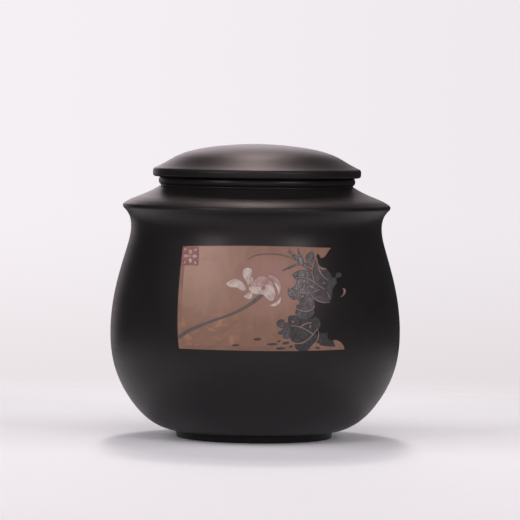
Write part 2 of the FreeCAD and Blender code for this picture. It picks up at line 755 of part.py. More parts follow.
# ---- picture: order and solids -----------------------------------------------
def picture():
    """Every coloured clay as node name and faces, topmost first."""
    seal = seal_tile()
    field = panel().common(inner_panel()).cut(seal)
    strip = panel().cut(inner_panel()).cut(seal).cut(stem())
    strips = sorted(strip.Faces, key=lambda face: -face.CenterOfMass.z)
    veins = [(node, [line(widths, *places)]) for node, (widths, places) in VEINS.items()]
    return [("leaf_spots", leaf_spots())] + veins + [
        ("seal_blossom", seal_blossom()),
        ("seal_tile", [seal]),
        ("flower_eye", [flower_eye()]),
        ("flower_bowl", [flower_bowl()]),
        ("petal_upper", [petal_upper()]),
        ("flower_heart", [flower_heart()]),
        ("petal_arc", [petal_arc()]),
        ("petal_veil", [petal_veil()]),
        ("petal_crescent", [petal_crescent()]),
        ("petal_left", [petal_left()]),
        ("petal_small", [petal_small()]),
        ("petal_sliver", [petal_sliver()]),
        ("stem", [stem()]),
        ("bud_tall", [bud_tall()]),
        ("leaf_blade", [leaf_blade()]),
        ("leaf_crown", [leaf_crown()]),
        ("twigs", [twigs()]),
        ("tendril", [tendril()]),
        ("leaf_middle", [leaf_middle()]),
        ("leaf_right", [leaf_right()]),
        ("leaf_side", [leaf_side()]),
        ("leaf_outer", [leaf_outer()]),
        ("leaf_under", [leaf_under()]),
        ("leaf_drop", [leaf_drop()]),
        ("low_side", [low_side()]),
        ("low_body", [low_body()]),
        ("low_crown", [low_crown()]),
        ("low_right", [low_right()]),
        ("leaf_lobed", [leaf_lobed()]),
        ("low_toe", [low_toe()]),
        ("low_block", [low_block()]),
        ("bud_round", [bud_round()]),
        ("curl", [curl()]),
        ("pebbles", pebbles()),
        ("ground_toe", [toe()]),
        ("ground_field", [field]),
        ("margin_side", [strips[0]]),
        ("margin_foot", [strips[1]]),
    ]


def visible(layers):
    """Each layer's faces with everything above it cut away."""
    above = []
    result = []
    for node, faces in layers:
        clear = []
        for face in faces:
            hiding = [other for other in above if face.BoundBox.intersect(other.BoundBox)]
            clear += (face.cut(hiding) if hiding else face).Faces
        result.append((node, clear))
        above += faces
    return result


def inlay_shell(jar):
    """The outermost skin of the wall where the picture is carved."""
    block = Part.makeBox(
        2 * INLAY_HALF_WIDTH,
        INLAY_FAR_Y - INLAY_NEAR_Y,
        INLAY_HIGH_Z - INLAY_LOW_Z,
        Vector(-INLAY_HALF_WIDTH, INLAY_NEAR_Y, INLAY_LOW_Z),
    )
    inside = [on_side(radius - INLAY_DEPTH, height) for radius, height in BELLY_SIDE[1:]]
    foot = on_side(0, inside[0].z)
    top = on_side(0, inside[-1].z)
    core = revolved([
        spline(inside).toShape(),
        stroke([inside[-1], top]),
        stroke([top, foot]),
        stroke([foot, inside[0]]),
    ])
    return jar.common(block).cut(core)


def carved(shell, faces):
    """The part of the shell behind faces of the picture."""
    solids = []
    for face in faces:
        prism = face.extrude(Vector(0, INLAY_NEAR_Y, 0))
        solids += shell.common(prism).Solids
    return solids


def main():
    os.makedirs("parts", exist_ok=True)
    jar = whole_jar()
    shell = inlay_shell(jar)
    nodes = {}
    for node, faces in visible(picture()):
        nodes[node] = carved(shell, faces)
    inlays = [solid for solids in nodes.values() for solid in solids]
    nodes["jar_body"] = jar.cut(inlays).Solids
    nodes["lid"] = [lid()]
    for node, solids in nodes.items():
        shape = solids[0] if len(solids) == 1 else Part.makeCompound(solids)
        shape.exportStep(os.path.join("parts", node + ".step"))
        sizes = " ".join("%.2f" % solid.Volume for solid in solids)
        print(node, len(solids), "volume", sizes, "valid", shape.isValid())


main()
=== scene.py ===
import json
import math

import bpy
import numpy as np
from mathutils import Matrix, Vector, noise
from mathutils.geometry import delaunay_2d_cdt


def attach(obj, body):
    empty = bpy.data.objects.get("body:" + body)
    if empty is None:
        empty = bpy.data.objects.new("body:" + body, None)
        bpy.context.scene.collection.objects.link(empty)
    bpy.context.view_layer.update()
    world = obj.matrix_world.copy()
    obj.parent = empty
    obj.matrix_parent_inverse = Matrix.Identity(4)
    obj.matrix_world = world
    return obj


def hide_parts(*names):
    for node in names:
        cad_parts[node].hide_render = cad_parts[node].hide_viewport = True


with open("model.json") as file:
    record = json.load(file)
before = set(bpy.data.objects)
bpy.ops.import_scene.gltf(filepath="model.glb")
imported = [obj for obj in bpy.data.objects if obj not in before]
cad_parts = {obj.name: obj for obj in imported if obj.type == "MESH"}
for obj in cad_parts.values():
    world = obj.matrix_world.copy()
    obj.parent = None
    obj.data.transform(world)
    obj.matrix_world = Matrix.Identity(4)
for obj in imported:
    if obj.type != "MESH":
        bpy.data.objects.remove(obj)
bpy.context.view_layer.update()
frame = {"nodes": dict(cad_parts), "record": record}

# A lidded jar of burnished black clay with a picture of coloured clays inlaid in
# its front.  The jar and the lid are turned again from the outlines of their CAD
# nodes, finely and with the slight unevenness of hand work, and each inlaid clay
# is laid again over the turned wall.  Metres; the picture faces -Y.

MM = 0.001

# ---- camera, floor and light ---------------------------------------------------------
CAMERA_PLACE = (0.00178, -1.75, 0.1562)
CAMERA_PITCH = -2.51       # degrees, a little down
CAMERA_ROLL = 0.7          # degrees
CAMERA_LENS = 270.3        # millimetres
CAMERA_SENSOR = 36.0       # millimetres
CAMERA_REACH = 20.0        # nothing lies farther from the camera
FLOOR_RADIUS = 0.55
FLOOR_SIDES = 96
FLOOR_SHIFT = -0.1         # Y of the floor's middle, in front of the jar
FLOOR_CLEAR_RADIUS = 0.18  # where the floor starts to fade into the backdrop
FLOOR_GONE_RADIUS = 0.95 * FLOOR_RADIUS
FLOOR_COLOUR = (0.625, 0.645, 0.665)
FLOOR_ROUGHNESS = 0.9
FLOOR_SPECULAR = 0.1
# The backdrop that the camera sees gives no light: its colours, between which heights
# it turns from low to high, and its strengths at its left and right sides.  Heights
# and sides are parts of a direction of length 1.
BACKDROP_LOW = (0.80, 0.75, 0.77)
BACKDROP_HIGH = (0.90, 0.855, 0.89)
BACKDROP_TURN = (-0.085, -0.03)
BACKDROP_SIDES = (-0.08, 0.08)
BACKDROP_STRENGTHS = (1.02, 0.96)
ROOM_LIGHT = 0.05          # light from where no lamp is
# Soft lamps all round, as the clay mirrors them: how far round to the right from
# straight behind the jar, how high, and the radii where each is full and gone, all in
# degrees; then its strength and its tint.
ROSY = (1.0, 0.80, 0.79)
PALE = (1.0, 0.87, 0.92)
LAMPS = (
    (-2, 61, 2, 8, 18.5, ROSY),
    (0, 47, 2, 10, 7.0, ROSY),
    (-6, 16, 6, 18, 2.4, PALE),
    (-24, 0, 3, 13, 0.9, PALE),
    (20, 24, 4, 14, 0.3, PALE),
    (-139, 23, 2, 10, 18.0, PALE),
    (180, 6, 6, 34, 0.8, PALE),
    (141, 23, 2, 10, 17.0, PALE),
    (180, 52, 8, 26, 2.2, PALE),
    (-110, 52, 8, 24, 0.5, PALE),
)
# Area lamps for the floor and the picture, turned towards the foot of the jar:
# place, width and length, and watts.
AREA_LAMPS = {
    "ceiling": ((-0.2, -0.7, 1.3), (1.8, 1.4), 1.8),
    "back": ((-0.01, 0.74, 1.14), (0.13, 0.13), 4.9),
    "left": ((-1.35, -0.25, 0.8), (1.1, 0.9), 10.0),
    "right": ((1.35, -0.25, 0.8), (1.1, 0.9), 10.0),
}

# ---- sizes of the turned skins -------------------------------------------------------
SEGMENTS = 256             # round the axis
PROFILE_STEP = 1.2 * MM    # longest step along a turned outline
HIDDEN_STEP = 3.5 * MM     # the same inside and below, where nothing is seen
PROFILE_TURN = 6.0         # degrees, the largest bend at one step
SHARP_ANGLE = 38.0         # degrees, an edge sharper than this isn't smoothed
KEY_SIZE = 1e-6            # two corners nearer than this are one
FACES_AXIS = -0.2          # a span faces the axis, if its two normals' Y add up to less
JAR_LOW_Z = 3.0 * MM       # the unevenness lives between the foot ring
JAR_HIGH_Z = 103.0 * MM    # and the shoulder rim
UNEVEN_FADE = 6            # it grows over one part in this many at each end
OVALNESS = 0.06 * MM
OVAL_TURN = 0.6            # radians, twice the turn of the oval round the axis
RIPPLE = 0.012 * MM        # height of the turning rings
RIPPLE_LENGTH = 3.4 * MM
RIPPLE_LINE = (0.37, 4.1)  # where the noise is read; another line gives other rings
RIPPLE_TOP = 0.12          # above the jar's lip
RIPPLE_ROWS = 1200         # heights at which the rings are worked out

# ---- sizes of the inlaid clays -------------------------------------------------------
INLAY_DEPTH = 1.2 * MM
EDGE_HEIGHT = 0.012 * MM   # how far an inlay stands over the wall at its edge
CROWN_HEIGHT = 0.05 * MM   # and inside its edge
EDGE_WIDTH = 0.14          # millimetres, the rounded edge of an inlay
EDGE_LONGEST = 0.4         # millimetres, longest straight run of an inlay's edge
EDGE_GAP = 0.015           # millimetres, a corner nearer to the last one is dropped
ROW_OFFSETS = (0.14, 0.4)  # millimetres, rows of corners that follow an inlay's edge
ROW_CLEAR = 0.93           # share of its offset that a row keeps from every edge
ROW_GAP = 0.8              # share of its offset between two corners of a row
GRID = 0.8                 # millimetres between the corners inside an inlay
GRID_ROW = 0.866           # share of GRID between two rows of the grid
GRID_CLEAR = 0.35          # share of GRID between the last edge row and the grid
ON_SKIN = 0.25 * MM        # a corner this near the wall's outside lies on it
FACES_FRONT = -0.3         # a face faces front, if its normal's Y is below this
TINY = 1e-9                # keeps a division from a zero length
SAME_PLACE = 1e-7          # millimetres, how near the triangulation joins two corners
FILLED = 0                 # the triangulation's kind that fills out to the hull
BLOCK = 512                # points measured at a time


# ---- small helpers -------------------------------------------------------------------
def smooth(value):
    """0 below 0, 1 above 1, and an even turn between them."""
    t = np.clip(value, 0.0, 1.0)
    return t * t * (3 - 2 * t)


def make_object(name, points, faces):
    """A mesh object of points and faces, smooth but for its sharp edges."""
    mesh = bpy.data.meshes.new(name)
    mesh.from_pydata(points, [], faces)
    mesh.validate()
    mesh.shade_smooth()
    mesh.set_sharp_from_angle(angle=math.radians(SHARP_ANGLE))
    obj = bpy.data.objects.new(name, mesh)
    bpy.context.scene.collection.objects.link(obj)
    return obj


def point_attribute(obj, name, values):
    """Stores one number for each corner of a mesh, for its material to read."""
    attribute = obj.data.attributes.new(name, "FLOAT", "POINT")
    attribute.data.foreach_set("value", np.asarray(values, np.float32))


# ---- reading the CAD nodes -----------------------------------------------------------
def triangles_of(node):
    """A CAD node's corner places, its triangles' corners, and the normals there."""
    mesh = frame["nodes"][node].data
    mesh.calc_loop_triangles()
    count = len(mesh.loop_triangles)
    places = np.zeros(len(mesh.vertices) * 3, np.float32)
    mesh.vertices.foreach_get("co", places)
    corners = np.zeros(count * 3, np.int32)
    mesh.loop_triangles.foreach_get("vertices", corners)
    loops = np.zeros(count * 3, np.int32)
    mesh.loop_triangles.foreach_get("loops", loops)
    normals = np.zeros(len(mesh.loops) * 3, np.float32)
    mesh.corner_normals.foreach_get("vector", normals)
    normals = normals.reshape(-1, 3)[loops].reshape(-1, 3, 3)
    return places.reshape(-1, 3).astype(float), corners.reshape(-1, 3), normals.astype(float)


def key_of(a, b):
    """Two lengths as one dictionary key, so that equal places meet."""
    return (round(a / KEY_SIZE), round(b / KEY_SIZE))


def seam_spans(node):
    """The outline of a turned node: {key: {other key: (start, end, tangents, step)}}.

    Its seam lies in the half plane x = 0, y > 0, so the mesh edges there are the
    outline, and the normals at their ends give its direction.  Where the skin faces
    the axis, or is flat, nothing fine is seen, and the step is long."""
    places, corners, normals = triangles_of(node)
    on_seam = (np.abs(places[:, 0]) < KEY_SIZE) & (places[:, 1] > -KEY_SIZE)
    spans = {}
    for first, second in ((0, 1), (1, 2), (2, 0)):
        both = on_seam[corners[:, first]] & on_seam[corners[:, second]]
        for row in np.flatnonzero(both):
            ends = [places[corners[row, k], 1:] for k in (first, second)]
            keys = [key_of(*end) for end in ends]
            if keys[0] == keys[1]:
                continue
            tangents = []
            for k in (first, second):
                across = normals[row, k, 1:]
                along = np.array([-across[1], across[0]])
                if along @ (ends[1] - ends[0]) < 0:
                    along = -along
                tangents.append(along / max(np.linalg.norm(along), KEY_SIZE))
            outward = normals[row, first, 1] + normals[row, second, 1]
            level = abs(ends[0][1] - ends[1][1]) < KEY_SIZE
            step = HIDDEN_STEP if level or outward < FACES_AXIS else PROFILE_STEP
            spans.setdefault(keys[0], {})[keys[1]] = (ends[0], ends[1], *tangents, step)
            back = (ends[1], ends[0], -tangents[1], -tangents[0], step)
            spans.setdefault(keys[1], {})[keys[0]] = back
    return spans


def span_points(start, end, leaving, arriving, step):
    """Points of the smooth curve over one span, without its end."""
    length = np.linalg.norm(end - start)
    bend = math.degrees(math.acos(np.clip(leaving @ arriving, -1, 1)))
    steps = max(1, math.ceil(length / step), math.ceil(bend / PROFILE_TURN))
    points = []
    for t in np.arange(steps) / steps:
        point = (2 * t**3 - 3 * t**2 + 1) * start + (3 * t**2 - 2 * t**3) * end
        point = point + (t**3 - 2 * t**2 + t) * length * leaving
        points.append(point + (t**3 - t**2) * length * arriving)
    return points


def outline_of(node):
    """A turned node's outline as radius and height, from its lowest end on the axis."""
    spans = seam_spans(node)
    ends = [key for key, others in spans.items() if len(others) == 1]
    here = min(ends, key=lambda key: key[1])
    last = None
    points = []
    while True:
        onward = [key for key in spans[here] if key != last]
        if not onward:
            break
        points += span_points(*spans[here][onward[0]])
        last, here = here, onward[0]
    points.append(spans[last][here][1])
    if points[0][0] > KEY_SIZE:
        points.insert(0, np.array([0.0, points[0][1]]))
    if points[-1][0] > KEY_SIZE:
        points.append(np.array([0.0, points[-1][1]]))
    return np.array(points)


# ---- the jar's wall, as thrown -------------------------------------------------------
JAR_OUTLINE = outline_of("jar_body")
LID_OUTLINE = outline_of("lid")


def outer_part(outline):
    """The part of the jar's outline outside, from foot ring to lip, by height."""
    lip = int(np.argmax(outline[:, 1]))
    lowest = outline[:lip, 1].min()
    foot = int(np.flatnonzero(outline[:lip, 1] < lowest + KEY_SIZE)[-1])
    return outline[foot:lip + 1]


JAR_OUTSIDE = outer_part(JAR_OUTLINE)


def wall_radius(height):
    """The radius of the jar's outside at a height, by the CAD outline."""
    return np.interp(height, JAR_OUTSIDE[:, 1], JAR_OUTSIDE[:, 0])


def ripple(heights):
    """Turning rings: how far the wall stands out at each height."""
    places = [Vector((float(height) / RIPPLE_LENGTH, *RIPPLE_LINE)) for height in heights]
    return RIPPLE * np.array([noise.noise(place) for place in places])


RIPPLE_TABLE_Z = np.linspace(0.0, RIPPLE_TOP, RIPPLE_ROWS)
RIPPLE_TABLE = ripple(RIPPLE_TABLE_Z)


def unevenness(height, angle):
    """How far the jar's outside stands out from a true turned wall."""
    middle = (height - JAR_LOW_Z) / (JAR_HIGH_Z - JAR_LOW_Z)
    mask = smooth(np.minimum(middle, 1 - middle) * UNEVEN_FADE)
    oval = OVALNESS * np.cos(2 * angle + OVAL_TURN) * np.sin(math.pi * np.clip(middle, 0, 1))
    return mask * (oval + np.interp(height, RIPPLE_TABLE_Z, RIPPLE_TABLE))


# ---- turned skins --------------------------------------------------------------------
def lathe(name, outline, uneven=None):
    """A closed skin turned from an outline that starts and ends on the axis.

    Only the part up to the outline's highest point, its outside, is made uneven."""
    angles = np.arange(SEGMENTS) * (2 * math.pi / SEGMENTS)
    outside_end = int(np.argmax(outline[:, 1]))
    points = [(0.0, 0.0, float(outline[0, 1]))]
    along = np.concatenate([[0], np.cumsum(np.linalg.norm(np.diff(outline, axis=0), axis=1))])
    lengths = [along[0]]
    for index in range(1, len(outline) - 1):
        radius, height = outline[index]
        radii = np.full(SEGMENTS, radius)
        if uneven is not None and index < outside_end:
            radii = radii + uneven(np.full(SEGMENTS, height), angles)
        ring = np.stack([radii * np.sin(angles), -radii * np.cos(angles)], axis=1)
        points += [(float(x), float(y), float(height)) for x, y in ring]
        lengths += [along[index]] * SEGMENTS
    points.append((0.0, 0.0, float(outline[-1, 1])))
    lengths.append(along[-1])
    rings = len(outline) - 2
    following = [(k + 1) % SEGMENTS for k in range(SEGMENTS)]
    faces = [(0, 1 + following[k], 1 + k) for k in range(SEGMENTS)]
    for row in range(rings - 1):
        low = 1 + row * SEGMENTS
        high = low + SEGMENTS
        faces += [(low + k, low + following[k], high + following[k], high + k)
                  for k in range(SEGMENTS)]
    top = len(points) - 1
    low = 1 + (rings - 1) * SEGMENTS
    faces += [(top, low + k, low + following[k]) for k in range(SEGMENTS)]
    obj = make_object(name, points, faces)
    point_attribute(obj, "along", np.array(lengths) / MM)
    return obj


# ---- inlaid clays --------------------------------------------------------------------
def front_edges(node):
    """The edges round a node's face in the wall: {start key: [end keys]}.

    An edge between two triangles of the face is passed once each way, and cancels."""
    places, corners, _ = triangles_of(node)
    radius = np.hypot(places[:, 0], places[:, 1])
    on_skin = np.abs(radius - wall_radius(places[:, 2])) < ON_SKIN
    first, second, third = (places[corners[:, k]] for k in range(3))
    across = np.cross(second - first, third - first)
    faces_front = across[:, 1] < FACES_FRONT * np.linalg.norm(across, axis=1)
    front = corners[on_skin[corners].all(axis=1) & faces_front]
    keys = [key_of(x, z) for x, _, z in places]
    balance = {}
    for a, b, c in front:
        for start, end in ((keys[a], keys[b]), (keys[b], keys[c]), (keys[c], keys[a])):
            if start < end:
                balance[start, end] = balance.get((start, end), 0) + 1
            elif end < start:
                balance[end, start] = balance.get((end, start), 0) - 1
    outgoing = {}
    for (low, high), count in balance.items():
        if count > 0:
            outgoing.setdefault(low, []).append(high)
        elif count < 0:
            outgoing.setdefault(high, []).append(low)
    return outgoing


def front_loops(node):
    """The edges of a node's face in the wall, as loops of (x, z) in millimetres."""
    outgoing = front_edges(node)
    loops = []
    while outgoing:
        start = min(outgoing)
        loop = [start]
        while loop[-1] in outgoing:
            ends = outgoing[loop[-1]]
            following = min(ends)
            ends.remove(following)
            if not ends:
                del outgoing[loop[-1]]
            if following == start:
                break
            loop.append(following)
        if len(loop) > 2:
            loops.append(np.array(loop) * (KEY_SIZE / MM))
    return loops


def evened(loop):
    """A loop with long runs divided and very near corners dropped."""
    points = []
    for start, end in zip(loop, np.roll(loop, -1, axis=0)):
        if points and np.linalg.norm(start - points[-1]) < EDGE_GAP:
            continue
        length = np.linalg.norm(end - start)
        steps = max(1, math.ceil(length / EDGE_LONGEST))
        points += [start + (end - start) * (k / steps) for k in range(steps)]
    return np.array(points)


def edge_ends(loops):
    """The starts of all the loops' edges, and their ends."""
    return np.concatenate(loops), np.concatenate([np.roll(loop, -1, axis=0) for loop in loops])


def edge_distance(points, loops):
    """Each point's distance from the nearest edge, in millimetres."""
    starts, ends = edge_ends(loops)
    along = ends - starts
    squares = np.maximum((along**2).sum(axis=1), TINY)
    nearest = np.empty(len(points))
    for first in range(0, len(points), BLOCK):
        block = points[first:first + BLOCK, None, :]
        share = np.clip(((block - starts) * along).sum(axis=2) / squares, 0, 1)
        apart = block - starts - share[:, :, None] * along
        nearest[first:first + BLOCK] = np.sqrt((apart**2).sum(axis=2).min(axis=1))
    return nearest


def inside(points, loops):
    """True for each point that an odd number of the loops go round."""
    starts, ends = edge_ends(loops)
    rise = ends[:, 1] - starts[:, 1]
    rise = np.where(np.abs(rise) < TINY, TINY, rise)
    result = np.empty(len(points), bool)
    for first in range(0, len(points), BLOCK):
        block = points[first:first + BLOCK]
        crosses = (starts[:, 1] > block[:, 1:]) != (ends[:, 1] > block[:, 1:])
        share = (block[:, 1:] - starts[:, 1]) / rise
        x = starts[:, 0] + share * (ends[:, 0] - starts[:, 0])
        hits = crosses & (x > block[:, :1])
        result[first:first + BLOCK] = hits.sum(axis=1) % 2 == 1
    return result


def inner_points(loops):
    """Corners inside the loops: rows along the edges and an even grid."""
    chosen = []
    for loop in loops:
        before = np.roll(loop, 1, axis=0)
        after = np.roll(loop, -1, axis=0)
        along = after - before
        along = along / np.maximum(np.linalg.norm(along, axis=1, keepdims=True), TINY)
        across = np.stack([-along[:, 1], along[:, 0]], axis=1)
        for offset in ROW_OFFSETS:
            for side in (-1, 1):
                row = loop + across * offset * side
                keep = edge_distance(row, loops) > offset * ROW_CLEAR
                chosen.append(thinned(row[keep], offset * ROW_GAP))
    starts, _ = edge_ends(loops)
    low = starts.min(axis=0)
    high = starts.max(axis=0)
    grid = []
    for row, z in enumerate(np.arange(low[1], high[1], GRID * GRID_ROW)):
        shift = GRID / 2 * (row % 2)
        grid += [(x, z) for x in np.arange(low[0] + shift, high[0], GRID)]
    if grid:
        grid = np.array(grid)
        clear = edge_distance(grid, loops) > ROW_OFFSETS[-1] + GRID * GRID_CLEAR
        chosen.append(grid[clear])
    points = np.concatenate(chosen)
    return points[inside(points, loops)]


def thinned(points, gap):
    """Points with those too near an earlier one dropped."""
    kept = []
    cells = {}
    for point in points:
        cell = (math.floor(point[0] / gap), math.floor(point[1] / gap))
        around = []
        for i in (-1, 0, 1):
            for j in (-1, 0, 1):
                around += cells.get((cell[0] + i, cell[1] + j), [])
        if any(np.hypot(*(point - other)) < gap for other in around):
            continue
        cells.setdefault(cell, []).append(point)
        kept.append(point)
    return np.array(kept).reshape(-1, 2)


def wall_points(flat, heights):
    """Points of the picture, in millimetres, laid on the wall and raised by heights."""
    x = flat[:, 0] * MM
    z = flat[:, 1] * MM
    radius = wall_radius(z)
    radius = radius + unevenness(z, np.arcsin(x / radius)) + heights
    return np.stack([x, -np.sqrt(radius**2 - x**2), z], axis=1)


def inlay(node):
    """The closed plate of one inlaid clay, its face just over the wall, its back in it."""
    loops = [evened(loop) for loop in front_loops(node)]
    corners = np.concatenate(loops + [inner_points(loops)])
    edges = []
    first = 0
    for loop in loops:
        count = len(loop)
        edges += [(first + k, first + (k + 1) % count) for k in range(count)]
        first += count
    corners = [Vector(point) for point in corners]
    result = delaunay_2d_cdt(corners, edges, [], FILLED, SAME_PLACE)
    flat = np.array([(corner[0], corner[1]) for corner in result[0]])
    triangles = np.array(result[2])
    kept = triangles[inside(flat[triangles].mean(axis=1), loops)]
    used = np.unique(kept)
    number = np.full(len(flat), -1)
    number[used] = np.arange(len(used))
    flat = flat[used]
    kept = number[kept]
    rim = edge_distance(flat, loops)
    heights = EDGE_HEIGHT + (CROWN_HEIGHT - EDGE_HEIGHT) * smooth(rim / EDGE_WIDTH)
    top = wall_points(flat, heights)
    bottom = wall_points(flat, np.full(len(flat), -INLAY_DEPTH))
    count = len(flat)
    directed = {(int(t[i]), int(t[(i + 1) % 3])) for t in kept for i in range(3)}
    faces = [tuple(int(i) for i in t) for t in kept]
    faces += [tuple(int(i) + count for i in reversed(t)) for t in kept]
    open_edges = [(a, b) for a, b in sorted(directed) if (b, a) not in directed]
    faces += [(b, a, a + count, b + count) for a, b in open_edges]
    obj = make_object("inlay_" + node, np.concatenate([top, bottom]).tolist(), faces)
    point_attribute(obj, "rim", np.concatenate([rim, rim]))
    return obj


# ---- materials -----------------------------------------------------------------------
STROKE_SLANT = 35.0        # degrees that the ground's lower strokes rise to the right
PETAL_SLANT = 20.0         # degrees that the petals' veins lean
LEAF_SLANT = -25.0         # degrees that the leaves' streaks lean
FLOWER_CENTRE = (0.005, 0.071)
BLACK_SPECULAR = 0.25
BLACK_GRAIN_RELIEF = 0.012 * MM
INLAY_ROUGHNESS = 0.5
INLAY_SPECULAR = 0.4
RELIEF = 0.02 * MM         # height of rings, strokes, streaks and an inlay's grain
# Clays with soft marks: a dark and a light tone, how fine the marks are, and the
# edge's tone and share.
MARKED_CLAYS = {
    "tan_line_clay": ((0.115, 0.078, 0.067), (0.185, 0.13, 0.11), 320.0,
                      (0.1, 0.065, 0.055), 0.35),
    "tan_margin_clay": ((0.137, 0.076, 0.05), (0.182, 0.107, 0.075), 120.0,
                        (0.09, 0.05, 0.04), 0.4),
    "red_clay": ((0.15, 0.058, 0.054), (0.215, 0.09, 0.085), 500.0,
                 (0.11, 0.03, 0.028), 0.4),
    "brown_clay": ((0.16, 0.09, 0.075), (0.24, 0.14, 0.12), 400.0,
                   (0.12, 0.065, 0.055), 0.4),
    "dark_clay": ((0.024, 0.019, 0.018), (0.045, 0.034, 0.032), 300.0,
                  (0.05, 0.034, 0.03), 0.4),
}
# Petals and leaves: a dark and a light tone, and the outline's.
PETAL_CLAYS = {
    "cream_clay": ((0.295, 0.245, 0.21), (0.41, 0.352, 0.312), (0.17, 0.115, 0.095)),
    "rose_clay": ((0.225, 0.138, 0.126), (0.33, 0.228, 0.21), (0.17, 0.1, 0.09)),
}
LEAF_CLAYS = {
    "blue_grey_clay": ((0.062, 0.055, 0.051), (0.14, 0.121, 0.111), (0.055, 0.047, 0.044)),
    "grey_clay": ((0.028, 0.028, 0.029), (0.148, 0.147, 0.154), (0.02, 0.019, 0.02)),
    "dark_grey_clay": ((0.014, 0.014, 0.014), (0.088, 0.086, 0.087), (0.014, 0.014, 0.014)),
}


class Shades:
    """A material under construction: adds nodes and links them."""

    def __init__(self, name):
        self.material = bpy.data.materials.new(name)
        self.material.use_nodes = True
        self.tree = self.material.node_tree
        self.surface = self.tree.nodes["Principled BSDF"]
        self.place = self.add("ShaderNodeTexCoord").outputs["Object"]

    @classmethod
    def of_tree(cls, tree):
        """The same helpers for a node tree that exists."""
        shades = cls.__new__(cls)
        shades.tree = tree
        shades.place = shades.add("ShaderNodeTexCoord").outputs["Generated"]
        return shades

    def add(self, kind, **settings):
        """A new node with some of its properties set."""
        node = self.tree.nodes.new(kind)
        for key, value in settings.items():
            setattr(node, key, value)
        return node

    def link(self, source, target):
        """Joins a socket to another, or sets the other to a number or a tuple."""
        if isinstance(source, (int, float, tuple)):
            target.default_value = source
        else:
            self.tree.links.new(source, target)

    def stretched(self, scale, shift=(0, 0, 0)):
        """Object coordinates scaled by three numbers and then shifted."""
        mapping = self.add("ShaderNodeMapping")
        mapping.inputs["Scale"].default_value = scale
        mapping.inputs["Location"].default_value = shift
        self.link(self.place, mapping.inputs["Vector"])
        return mapping.outputs["Vector"]

    def turned(self, slant, scale):
        """Object coordinates turned about Y by an angle in degrees, and then scaled."""
        turn = self.add("ShaderNodeVectorRotate", rotation_type="Y_AXIS")
        turn.inputs["Angle"].default_value = math.radians(slant)
        self.link(self.place, turn.inputs["Vector"])
        grow = self.add("ShaderNodeVectorMath", operation="MULTIPLY")
        self.link(turn.outputs[0], grow.inputs[0])
        self.link(scale, grow.inputs[1])
        return grow.outputs[0]

    def split(self, vector):
        """The three parts of a vector."""
        node = self.add("ShaderNodeSeparateXYZ")
        self.link(vector, node.inputs[0])
        return node.outputs

    def distance(self, point):
        """How far a place is from a point of the picture (x, z), in metres."""
        x, _, z = self.split(self.place)
        flat = self.add("ShaderNodeCombineXYZ")
        self.link(x, flat.inputs["X"])
        self.link(z, flat.inputs["Y"])
        apart = self.add("ShaderNodeVectorMath", operation="DISTANCE")
        self.link(flat.outputs[0], apart.inputs[0])
        self.link((*point, 0.0), apart.inputs[1])
        return apart.outputs["Value"]

    def noise(self, vector, scale, detail, roughness=0.5, distortion=0.0):
        """Cloudy values round 0.5; scale is in features for each unit of the vector."""
        node = self.add("ShaderNodeTexNoise")
        self.link(vector, node.inputs["Vector"])
        node.inputs["Scale"].default_value = scale
        node.inputs["Detail"].default_value = detail
        node.inputs["Roughness"].default_value = roughness
        node.inputs["Distortion"].default_value = distortion
        return node.outputs["Fac"]

    def attribute(self, name):
        """A number that point_attribute stored in the mesh."""
        return self.add("ShaderNodeAttribute", attribute_name=name).outputs["Fac"]

    def math(self, operation, a, b):
        """One sum, product or the like of two values."""
        node = self.add("ShaderNodeMath", operation=operation)
        self.link(a, node.inputs[0])
        self.link(b, node.inputs[1])
        return node.outputs[0]

    def span(self, value, low, high, to_low=0.0, to_high=1.0):
        """A value carried smoothly from one range to another, and held at its ends."""
        node = self.add("ShaderNodeMapRange", interpolation_type="SMOOTHSTEP")
        self.link(value, node.inputs["Value"])
        for socket, number in zip(("From Min", "From Max", "To Min", "To Max"),
                                  (low, high, to_low, to_high)):
            self.link(number, node.inputs[socket])
        return node.outputs["Result"]

    def mix(self, share, first, second):
        """Two colours mixed by a share from 0 to 1."""
        node = self.add("ShaderNodeMix", data_type="RGBA")
        self.link(share, node.inputs["Factor"])
        self.link(colour(first), node.inputs["A"])
        self.link(colour(second), node.inputs["B"])
        return node.outputs["Result"]

    def mix_values(self, share, first, second):
        """Two values mixed by a share from 0 to 1."""
        node = self.add("ShaderNodeMix", data_type="FLOAT")
        self.link(share, node.inputs["Factor"])
        self.link(first, node.inputs["A"])
        self.link(second, node.inputs["B"])
        return node.outputs["Result"]

    def bump(self, height, distance, strength, under=None):
        """The normal with a relief, over an earlier one if there is one."""
        node = self.add("ShaderNodeBump")
        node.inputs["Strength"].default_value = strength
        node.inputs["Distance"].default_value = distance
        self.link(height, node.inputs["Height"])
        if under is not None:
            self.link(under, node.inputs["Normal"])
        return node.outputs["Normal"]

    def finish(self, base, roughness, specular, normal=None):
        """Sets the surface's own sockets, and gives the material back."""
        self.link(colour(base), self.surface.inputs["Base Color"])
        self.link(roughness, self.surface.inputs["Roughness"])
        self.surface.inputs["Specular IOR Level"].default_value = specular
        if normal is not None:
            self.link(normal, self.surface.inputs["Normal"])
        return self.material


def colour(value):
    """A linear colour of three numbers with its alpha, or a socket as it is."""
    return (*value, 1.0) if isinstance(value, tuple) else value


